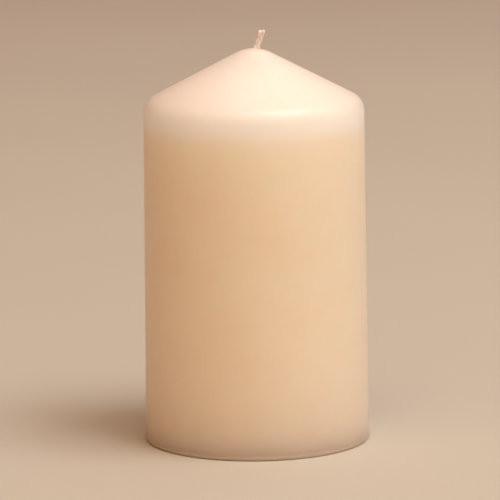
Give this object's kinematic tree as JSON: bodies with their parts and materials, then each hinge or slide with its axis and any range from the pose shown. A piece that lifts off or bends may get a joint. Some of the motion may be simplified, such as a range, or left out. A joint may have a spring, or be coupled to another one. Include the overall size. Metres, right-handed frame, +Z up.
{
  "type": "unity candle",
  "caption": "Free-standing wax pillar with a slightly tapered round side, rounded shoulders, a blunt conical top and a short leaning plaited wick, lit as the centre candle of a ceremony.",
  "frame": {"origin": "centre of the foot, on the surface that the candle stands on", "axes": "+Z up along the candle's axis, +X the way the free wick leans, -Y the side that faces the viewer"},
  "size_m": [0.0764, 0.0764, 0.1399],
  "materials": {
    "ivory_wax": "smooth cast wax, soft satin, translucent",
    "tip_wax": "smooth wax bead, satin, translucent",
    "second_pour_wax": "poured wax, slightly mottled, satin",
    "wick_cotton": "plaited cotton primed with wax",
    "tin_plate": "stamped tin plate",
    "hot_melt": "cloudy hot melt, glossy"
  },
  "bodies": {
    "root": {"wax_body": "ivory_wax", "base_fill": "second_pour_wax", "tip_seal": "tip_wax", "wick_strand_a": "wick_cotton", "wick_strand_b": "wick_cotton", "wick_strand_c": "wick_cotton", "wick_sustainer": "tin_plate", "sustainer_seal": "hot_melt"}
  },
  "joints": []
}
